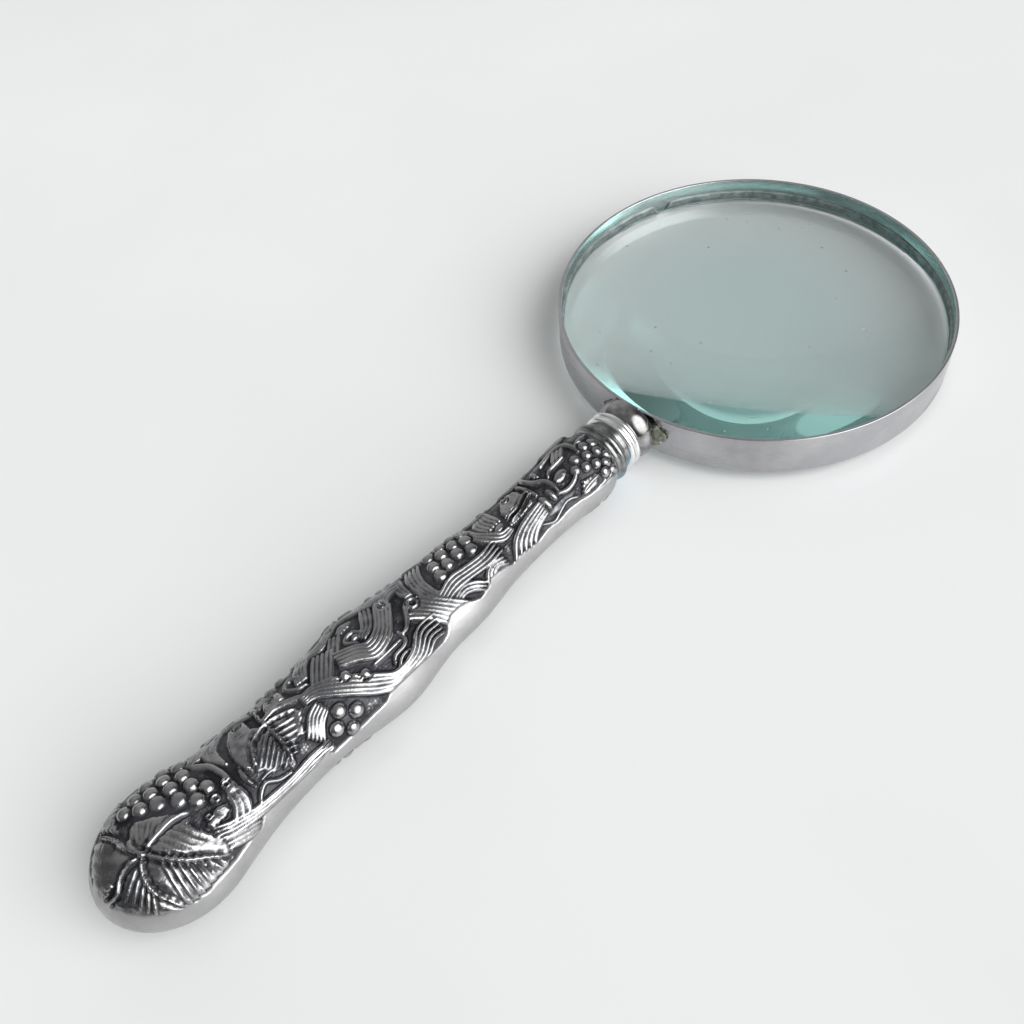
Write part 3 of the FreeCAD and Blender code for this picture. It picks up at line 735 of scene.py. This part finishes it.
def draw_butt_stem(art):
    """The ribbon stem of the butt's grapes, and the leaf scraps below it."""
    art.stem([(7.2, -7), (5.4, -4.8), (3.7, -2.6), (2.9, 0.6), (2.9, 3.8)], 1.5, 0.62)
    art.pad(3.5, 3.2, (1.3, 2.2), 0, 0.6)
    art.bundle([(2.6, 4.8), (2.9, 7.4), (4, 9.4)], [(4.6, 4.4), (5.2, 7), (6.8, 9)], 3, 0.5)
    art.eye(3.9, 2.7, 0.9, 0.65)
    art.blade([(5.4, 5), (8.4, 4.4), (11.4, 6.2), (11.2, 7.8), (8, 7.9), (6, 7.2)], 0.45, tooth=1)
    art.eye(9.9, 5.4, 0.7)
    art.bundle([(3.6, 12.2), (6.6, 11.6), (10, 10.6)], [(4.8, 13.6), (7.6, 13.2), (10.4, 12.4)], 3, 0.4)


def draw_butt_grapes(art):
    art.grapes([(11.1, -7.8), (14.3, -7), (17.4, -5.6), (8.2, -5.4), (11.2, -4.6), (14.5, -3.8), (8.2, -2.1),
        (11.5, -1.3), (6.5, 0.5), (9.3, 1.3), (17, -8.9), (13.9, -10.2), (10.4, -10.9), (7.4, -8.6),
        (20, -8)], 1.55, 0.8)
    art.eye(6.8, 3.5, 1)


def draw_butt_leaf(art):
    """The large leaf over the butt: six blades about a hub, then the veins."""
    hub = (12.2, 2)
    art.blade([hub, (8, 1.1), (2.4, 1.2), (4.6, -0.6), (7.2, -2.7), (9.6, -4.4), (11.4, -3.4), (13, -1.2)],
        0.38, tooth=2.4, bite=0.2)
    art.blade([hub, (8, 1.6), (1.2, 2.4), (2.8, 4.6), (1.2, 7.2), (0, 10.4), (0.2, 14), (5, 10.6),
        (9.4, 6.2)], 0.32, tooth=1.7, bite=0.5)
    art.blade([hub, (9.4, 6.2), (5, 10.6), (0.4, 14.4), (4, 15.6), (8.8, 16), (13.6, 15.6), (15.2, 9),
        (14.4, 5)], 0.26, tooth=1.6, bite=0.6)
    art.blade([hub, (14.4, 5), (15.2, 9), (13.8, 15.5), (17.9, 13.5), (21.3, 9.9), (23.3, 6.3), (24.3, 2.6),
        (20.4, 3.2), (16.6, 1.9)], 0.24, tooth=1.7)
    art.blade([hub, (16.6, 1.7), (24.4, 1.6), (23.7, -3), (21.4, -6.7), (17.8, -9.8), (15.9, -8.6),
        (14.2, -5), (13.4, -1)], 0.24, tooth=1.9, bite=0.5)
    art.blade([(13, -3), (14, -6), (16.4, -10.4), (12.8, -14.4), (8.2, -15), (9.6, -10.4), (11.6, -8.2)],
        0.26, tooth=1.5, bite=0.6)
    art.ribs([(10.4, 4.8), (4, 11)], [(13, 14.8), (2.4, 14.6)], 8, 0.5)
    art.ribs([(14.6, 3.2), (15.6, 8.4)], [(20.6, 5.4), (18.8, 11.6)], 5, 0.5)
    art.ribs([(9, 3), (4.4, 3.6)], [(6.6, 8.2), (1.6, 8.8)], 4, 0.45)
    art.ribs([(5.4, -0.4), (9.4, -3.4)], [(8.4, 1), (11.6, 0)], 3, 0.45)
    for points in ([hub, (8, 1.3), (4.6, 1.1), (1, 2.2)], [hub, (13.6, -1.4), (14.2, -5), (16.2, -9.6)],
            [hub, (15.4, 1.5), (18, 1.9), (20.4, 3), (24.6, 1.7)], [hub, (14.4, 4.8), (15.2, 8.6),
            (14.3, 12), (13.6, 15.8)], [hub, (10.2, 5.4), (7.4, 8.6), (4, 11.2), (0.4, 14)], [hub,
            (12.7, -0.2), (12.5, -2.4)]):
        art.vein(points, 0.85, 0.7)


def draw_far_side(art):
    """The side past the crest: more of the same vine."""
    for start in (64, 91, 122, 153):
        art.bundle([(start, -13), (start + 7, -8.6), (start + 14, -12), (start + 21, -8.4),
            (start + 27, -12.6)], [(start, -9.8), (start + 7, -6.4), (start + 14, -9.4), (start + 21, -6.2),
            (start + 27, -9.8)], 5, 0.42)
    for reach in (79, 111, 136, 168):
        hub = np.array([reach, -11.6])
        for step in np.array([(-4.6, 1.4), (-1.8, -2.6), (4.4, -1.4), (3.6, 3.2)]):
            tip, half = hub + step, hub + step / 2
            aside = np.array([-step[1], step[0]]) * 0.45
            art.blade([hub, half + aside, tip, half - aside], 0.45)
            art.vein([hub, tip], 0.6, 0.65)
    art.grapes([(93, -10.2), (95.6, -11.2), (98.2, -10.2), (96, -8.6), (122, -11.2), (124.6, -10.4),
        (127.2, -11.6), (124.8, -12.8), (152.6, -10.4), (155.2, -11.4), (157.8, -10.4), (155.4, -8.8)], 1.4)


# Where each motif's reaches start, in the order of drawing.
MOTIFS = ((0, draw_far_side), (60, draw_neck), (80, draw_upper_leaf), (100, draw_middle_grapes),
    (110, draw_crossing), (120, draw_branches), (150, draw_lower_leaf), (140, draw_lower_grapes),
    (170, draw_butt_stem), (170, draw_butt_grapes), (180, draw_butt_leaf))


def ornament(places):
    """Heights, and how far each point is inside the ornament's edge."""
    relief = Relief(places)
    for start, draw in MOTIFS:
        relief.start_at(start)
        draw(relief)
    relief.texture()
    inside = inside_margin(relief.skin)
    lip = LEVEL + 0.05 * np.exp(-((inside + 0.5) / 0.45) ** 2)
    share = smooth_step(inside, -0.3, 0.2)
    height = lip * (1 - share) + relief.height * share
    return height.reshape(relief.shape), inside.reshape(relief.shape)


def blur(values, *spreads):
    """A soft average over a grid, with a spread down it and one across it."""
    for axis, spread in enumerate(spreads):
        edge = int(spread * 2.5)
        weights = np.exp(-(np.arange(-edge, edge + 1) / spread) ** 2 / 2)
        weights /= weights.sum()
        padding = [(0, 0), (0, 0)]
        padding[axis] = (edge, edge)
        padded = np.pad(values, padding, mode="edge")
        values = np.apply_along_axis(np.convolve, axis, padded, weights, "valid")
    return values


SEAM_CUT = 0.006
TOP = 0.70
DEEPEST = -0.52
SHOULDER = -0.3


def room_outside(points, normals):
    """How far each point can move outwards before it leaves the handle's own box."""
    up = (HALF_DEPTH(DOME_REACH) - points[..., 2]) / np.maximum(normals[..., 2], 0.05)
    back = (BUTT_REACH - points[..., 0]) / np.maximum(normals[..., 0], 0.05)
    return np.minimum(np.minimum(up, back), TOP)


def shell_heights(places, points, normals, upward):
    """Heights over the smooth form, held inside the handle's box, and the two looks."""
    height, inside = ornament(places)
    level = blur(height, 0.5, 0.6) - LEVEL
    if not upward:
        level = np.minimum(level, 0) + np.maximum(level, 0) * smooth_step(inside, 0.5, 4.0)
    room = room_outside(points, normals)
    above = np.maximum(level - SHOULDER, 0) * (room - SHOULDER) / (TOP - SHOULDER)
    margin = smooth_step(-inside, -0.2, 0.5)
    level = np.where(level > SHOULDER, SHOULDER + above, level) * (1 - margin) + level * margin
    level = np.clip(level, DEEPEST, room) - SEAM_CUT * np.exp(-(points[..., 2] / 0.12) ** 2)
    hollow = height - blur(height, 2.4, 4.2)
    return level, np.clip(0.44 + 1.75 * hollow + 0.22 * height, 0, 1), margin


def shell_faces(rows, columns, inner_columns):
    """The outer and inner grid of a shell, and the strips that join their edges."""
    first = rows * columns
    faces = grid_faces(rows, columns)
    faces += [tuple(first + index for index in face) for face in grid_faces(rows, inner_columns)]
    for row in range(rows - 1):
        outer, inner = row * columns, first + row * inner_columns
        for a, b in ((outer, inner), (outer + columns - 1, inner + inner_columns - 1)):
            faces.append((a, a + columns, b + inner_columns, b))
    for row in (0, rows - 1):
        outer, inner = row * columns, first + row * inner_columns
        faces.append((*range(outer, outer + columns), *reversed(range(inner, inner + inner_columns))))
    return faces


def build_shell(side, upward):
    """One stamped half: ornamented skin and a plain inner face, as one closed mesh."""
    points, normals, places = handle_skin()
    level, shine, margin = shell_heights(places, points, normals, upward)
    skin = points + normals * level[..., None]
    rows, columns = skin.shape[:2]
    wall = size("handle_%s_shell" % side).z - size("handle_core").z / 2
    chosen = np.linspace(0, columns - 1, 13).astype(int)
    inner = points[:, chosen] - normals[:, chosen] * wall
    inner[..., 2] = np.maximum(inner[..., 2], 0)
    flip = 1 if upward else -1
    every = np.vstack([skin.reshape(-1, 3), inner.reshape(-1, 3)])
    corners = [at_reach(x, -y, z * flip) for x, y, z in every]
    shell = mesh_object(side + "_stamping", corners, shell_faces(rows, columns, len(chosen)))
    for label, values in (("shine", shine), ("margin", margin)):
        add_attribute(shell, label, np.concatenate([values.ravel(), np.zeros(inner.size // 3)]))
    shell.data.set_sharp_from_angle(angle=radians(65))
    return shell


# ---- glass, band and rings ----

BAND_WALL = 0.8
SPLIT_OFFSET = 1.75
SPLIT_WIDTH = 0.25
SPRING_WALL = 0.5
SPRING_CUT = radians(65.5)
SPRING_GAP = radians(3.0)
SEAT_WIDTH = 0.6
STRAP_WALL = 0.9
STRAP_REACH = radians(11)


def from_axis(thing):
    """Each point's distance from the glass's axis."""
    return np.array([hypot(vertex.co.x - GLASS_X, vertex.co.y) for vertex in thing.data.vertices]) / MM


def build_glass():
    """Both faces are spherical; the edge is ground flat with a small chamfer."""
    bottom, top = over_axis("lens")
    edge_half, chamfer = 0.8, 0.15
    sag = (top - bottom) / 2 - edge_half
    sphere = (GLASS_RADIUS ** 2 + sag ** 2) / (2 * sag)
    rings = np.linspace(0, 1, 60) ** 0.9 * (GLASS_RADIUS - chamfer)
    drop = sphere - np.sqrt(sphere ** 2 - rings ** 2)
    upper = [(top - fall, ring) for ring, fall in zip(rings, drop)]
    lower = [(bottom + fall, ring) for ring, fall in zip(rings, drop)][::-1]
    edge = [((top + bottom) / 2 + side * (edge_half - chamfer), GLASS_RADIUS) for side in (1, -1)]
    lens = lathe("glass_disc", upper + edge + lower, 288, about_glass, closed=False)
    add_attribute(lens, "edge", from_axis(lens) > GLASS_RADIUS - 0.05)
    return lens


def rounded_strip(inner, outer, low, high, bevel, steps=3):
    """Outline of a strip with rounded corners, as (along, radius)."""
    outline = []
    right, left, up, down = outer - bevel, inner + bevel, high - bevel, low + bevel
    for corner, (radius, rise) in enumerate(((right, up), (left, up), (left, down), (right, down))):
        for step in range(steps + 1):
            angle = tau * (corner + step / steps) / 4
            outline.append((rise + bevel * sin(angle), radius + bevel * cos(angle)))
    return outline


def ring_with_gap(name, outline, centre_angle, gap, waver=None, flare=0.0):
    """A ring cut through at one place, with closed ends. flare widens the cut upwards."""
    low = min(rise for rise, radius in outline)
    sections = []
    for share in np.linspace(0, 1, 420):
        section = []
        for rise, radius in outline:
            half = gap / 2 * (1 + flare * (rise - low))
            angle = centre_angle + half + share * (tau - 2 * half)
            section.append(about_glass(rise, radius + (waver(angle) if waver else 0.0), angle))
        sections.append(section)
    return capped_sweep(name, sections)


def build_band():
    """The plain band, very slightly uneven, cut through where the strap covers it."""
    half = size("rim_band").z / 2
    centre = pi + asin(SPLIT_OFFSET / BAND_RADIUS)
    outline = rounded_strip(BAND_RADIUS - BAND_WALL, BAND_RADIUS, -half, half, 0.16)
    band = ring_with_gap("metal_band", outline, centre, SPLIT_WIDTH / BAND_RADIUS,
        waver=lambda angle: 0.03 * sin(3 * angle + 1) - 0.03)
    # Mask of the inner wall, where band_silver puts its painted teal reflection of the lit glass.
    add_attribute(band, "inner", from_axis(band) < BAND_RADIUS - BAND_WALL + 0.1)
    return band


def build_spring_ring():
    """The split flat ring that holds the glass down, its ends cut at a slant."""
    outer = BAND_RADIUS - BAND_WALL
    outline = rounded_strip(outer - SPRING_WALL, outer, *over_axis("retaining_ring"), 0.14)
    return ring_with_gap("spring_ring", outline, SPRING_CUT, SPRING_GAP, flare=0.5)


def build_seat():
    """The ring soldered in the band under the glass."""
    outer = size("seat_ring").x / 2
    outline = rounded_strip(outer - SEAT_WIDTH, outer, *over_axis("seat_ring"), 0.12)
    return lathe("glass_seat", outline, 288, about_glass)


def build_strap():
    """The strap over the band's split, with rounded ends."""
    half = size("rim_saddle").z / 2
    sections = []
    for angle in np.linspace(-STRAP_REACH, STRAP_REACH, 60):
        end = min(1.0, (STRAP_REACH - abs(angle)) / 0.03)
        full = sqrt(max(1 - (1 - end) ** 2, 0.05))
        outline = rounded_strip(BAND_RADIUS, BAND_RADIUS + STRAP_WALL * (0.7 + 0.3 * full),
            -half * full, half * full, 0.18 * full)
        sections.append([about_glass(rise, radius, pi + angle) for rise, radius in outline])
    return capped_sweep("split_strap", sections)


def solder_lump(work, centre, radii, seed):
    """One lump of an uneven blob."""
    first, second, third = np.random.default_rng(seed).uniform(0, tau, 3)
    for vertex in bmesh.ops.create_icosphere(work, subdivisions=4, radius=1.0)["verts"]:
        x, y, z = vertex.co
        bulge = 1 + 0.08 * (sin(5 * x + first) + sin(6 * y + second) + sin(7 * z + third))
        vertex.co = centre + vertex.co * Vector(radii) * bulge * MM


def build_solder():
    """Rough solder between knop, strap and band, more of it on the near side."""
    work = bmesh.new()
    lumps = [(-7.2, 0.6, (0.9, 1.5, 2.2)), (-8.4, 1.3, (0.7, 1.4, 1.2)), (-6.9, 2.4, (0.8, 1.2, 1.2)),
        (-7.0, -1.6, (0.8, 1.2, 1.3)), (-8.9, 0.2, (0.55, 1.0, 0.9)), (7.2, 0.4, (0.9, 1.2, 2.0)),
        (7.9, -1.2, (0.7, 1.0, 1.0)), (7.0, 2.0, (0.8, 1.0, 1.0))]
    for seed, (across, rise, radii) in enumerate(lumps):
        reach = sqrt((BAND_RADIUS + STRAP_WALL / 2) ** 2 - across ** 2)
        solder_lump(work, at_reach(reach, across, rise), radii, seed)
    solder = mesh_object("solder", [], [])
    work.to_mesh(solder.data)
    work.free()
    remesh = solder.modifiers.new("merge", "REMESH")
    remesh.mode = "VOXEL"
    remesh.voxel_size = 0.12 * MM
    remesh.use_smooth_shade = True
    evaluated = solder.evaluated_get(bpy.context.evaluated_depsgraph_get())
    merged = bpy.data.meshes.new_from_object(evaluated)
    solder.modifiers.clear()
    solder.data = merged
    return solder


# ---- turned pieces ----

TANG_FRONT = ends("tang_rod")[0]
TANG_RADIUS = size("tang_rod").z / 2
KNOP_FRONT = 50.0
KNOP_BACK, BEAD_END, FERRULE_END = (ends(node)[1] for node in ("knop", "bead_collar", "ferrule"))
KNOP_CREST, BEAD_CREST, FERRULE_CREST = (size(node).z / 2 for node in ("knop", "bead_collar", "ferrule"))


def build_knop():
    """A squat barrel whose front follows the strap."""
    barrel = arc_through((KNOP_FRONT, 7.0), (52.3, KNOP_CREST), (KNOP_BACK, 6.3), 40)
    cap = [(KNOP_FRONT, radius) for radius in np.linspace(7.0, 0, 14)][1:]
    hole = [(TANG_FRONT, 0.0), (TANG_FRONT, TANG_RADIUS), (KNOP_BACK - 0.1, TANG_RADIUS),
        (KNOP_BACK, TANG_RADIUS + 0.1), (KNOP_BACK, 6.1)]

    def place(along, radius, angle):
        strap = sqrt((BAND_RADIUS + STRAP_WALL) ** 2 - (radius * cos(angle)) ** 2)
        if along < TANG_FRONT + 0.5 and radius > TANG_RADIUS + 0.5 or along == KNOP_FRONT:
            along = max(along, strap)
        return about_handle(along, radius, angle)

    return lathe("knop_barrel", hole + barrel[::-1] + cap, 160, place, closed=False)


def build_beads():
    """Collar with two round beads and a fine line between."""
    pitch = (BEAD_END - KNOP_BACK) / 2
    outline = [(KNOP_BACK, TANG_RADIUS), (KNOP_BACK, 6.6)]
    for start in (KNOP_BACK, KNOP_BACK + pitch):
        outline += arc_through((start + 0.06, 6.7), (start + pitch / 2, BEAD_CREST),
            (start + pitch - 0.06, 6.7), 14)
    return lathe("bead_pair", outline + [(BEAD_END, 6.6), (BEAD_END, TANG_RADIUS)], 160, about_handle)


def build_ferrule():
    """Cove, raised ring and waisted neck."""
    cove_end, ring_end = BEAD_END + 2.0, BEAD_END + 3.7
    outline = [(BEAD_END, TANG_RADIUS), (BEAD_END, 6.6)]
    outline += arc_through((BEAD_END + 0.1, 6.65), (BEAD_END + 1.0, 6.4), (cove_end, 6.95), 10)
    outline += arc_through((cove_end + 0.05, FERRULE_CREST - 0.45), (cove_end + 0.85, FERRULE_CREST),
        (ring_end, FERRULE_CREST - 0.45), 14)
    outline += arc_through((ring_end + 0.05, FERRULE_CREST - 0.6), ((ring_end + FERRULE_END) / 2, 7.0),
        (FERRULE_END, 7.3), 10)
    return lathe("mouth_ferrule", outline + [(FERRULE_END, TANG_RADIUS)], 160, about_handle)


# ---- stage ----

def add_camera():
    data = bpy.data.cameras.new("camera")
    data.lens = 38.44
    data.sensor_width = 36.0
    camera = bpy.data.objects.new("camera", data)
    camera.location = at_reach(0, 0, 0) + Vector((-0.1936, -0.1091, 0.1934))
    camera.rotation_euler = Euler((0.6715, 0.0709, -0.8373), "XYZ")
    scene.collection.objects.link(camera)
    scene.camera = camera


def add_floor():
    """A board under the butt and the belly of the glass, on which the object lies."""
    butt_x = GLASS_X - DOME_REACH * MM
    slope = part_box("lens")[0].z / (GLASS_X - butt_x)
    half, clearance = 3.0, 0.0002
    corners = [(-half, -half), (half, -half), (half, half), (-half, half)]
    points = [(x, y, (x - butt_x) * slope - clearance) for x, y in corners]
    floor = mesh_object("floor", points, [(0, 1, 2, 3)])
    floor.data.materials.append(table_top())


# Each light of the room: its direction, its level at the middle and its spread in degrees.
ROOM_LEVEL = 0.13
WINDOW = ((0.14, -0.81, 0.62), 4.5, 44)
SKYLIGHT = ((-0.20, 0.30, 0.93), 0.24, 70)
FAR_WALL = ((0.68, 0.73, 0.15), 0.38, 65)


def add_surroundings():
    """A dim room with a soft window on the right, and weaker light above and behind."""
    world = bpy.data.worlds.new("room")
    scene.world = world
    world.use_nodes = True
    tree = world.node_tree
    sight = add_node(tree, "TexCoord").outputs["Generated"]
    total = ROOM_LEVEL
    for direction, level, spread in (WINDOW, SKYLIGHT, FAR_WALL):
        aim = add_node(tree, "VectorMath", {0: sight, 1: Vector(direction).normalized()},
            operation="DOT_PRODUCT").outputs["Value"]
        fall = {"Value": aim, "From Min": cos(radians(spread)), "From Max": 1.0, "To Max": level}
        lobe = add_node(tree, "MapRange", fall, interpolation_type="SMOOTHERSTEP").outputs["Result"]
        total = add_node(tree, "Math", {0: lobe, 1: total}, operation="ADD").outputs["Value"]
    background = tree.nodes["Background"]
    background.inputs["Color"].default_value = (0.99, 1.0, 1.0, 1.0)
    tree.links.new(total, background.inputs["Strength"])


# ---- assembly ----

def add_piece(thing, node, material):
    """Puts a finished piece in the place of a CAD node."""
    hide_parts(node)
    thing.data.materials.clear()
    thing.data.materials.append(material)
    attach(thing, "root")


def paint_node(node, material):
    """Gives a CAD node that stays a new material."""
    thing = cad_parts[node]
    if not thing.material_slots:
        thing.data.materials.append(material)
    for slot in thing.material_slots:
        slot.material = material


def build_all():
    silver, plate = handle_silver(), band_silver()
    for side, upward in (("front", True), ("back", False)):
        add_piece(build_shell(side, upward), "handle_%s_shell" % side, silver)
    add_piece(build_band(), "rim_band", plate)
    add_piece(build_strap(), "rim_saddle", plate)
    dull = dull_metal("dull_ring", 0.50, 0.55, 0.54, 500)
    add_piece(build_spring_ring(), "retaining_ring", dull)
    add_piece(build_seat(), "seat_ring", dull)
    add_piece(build_glass(), "lens", glass())
    add_piece(build_solder(), "saddle_solder", dull_metal("solder", 0.34, 0.36, 0.29, 900))
    tarnished = polished("knop_plate", grey(0.42), grey(0.18, 0.01), 0.06, 0.18)
    add_piece(build_knop(), "knop", tarnished)
    bright = polished("bead_plate", grey(0.92), grey(0.80), 0.12, 0.25)
    add_piece(build_beads(), "bead_collar", bright)
    add_piece(build_ferrule(), "ferrule", ferrule_silver())
    steel = dull_metal("plain_steel", 0.45, 0.45, 0.46)
    paint_node("mouth_plate", steel)
    paint_node("tang_rod", steel)
    paint_node("tang_anchor", dull_metal("plain_brass", 0.62, 0.47, 0.20))
    paint_node("handle_core", cement())


scene.view_settings.view_transform = "Standard"
scene.cycles.max_bounces = 24
scene.cycles.transmission_bounces = 24
scene.cycles.glossy_bounces = 8
add_camera()
build_all()
add_floor()
add_surroundings()
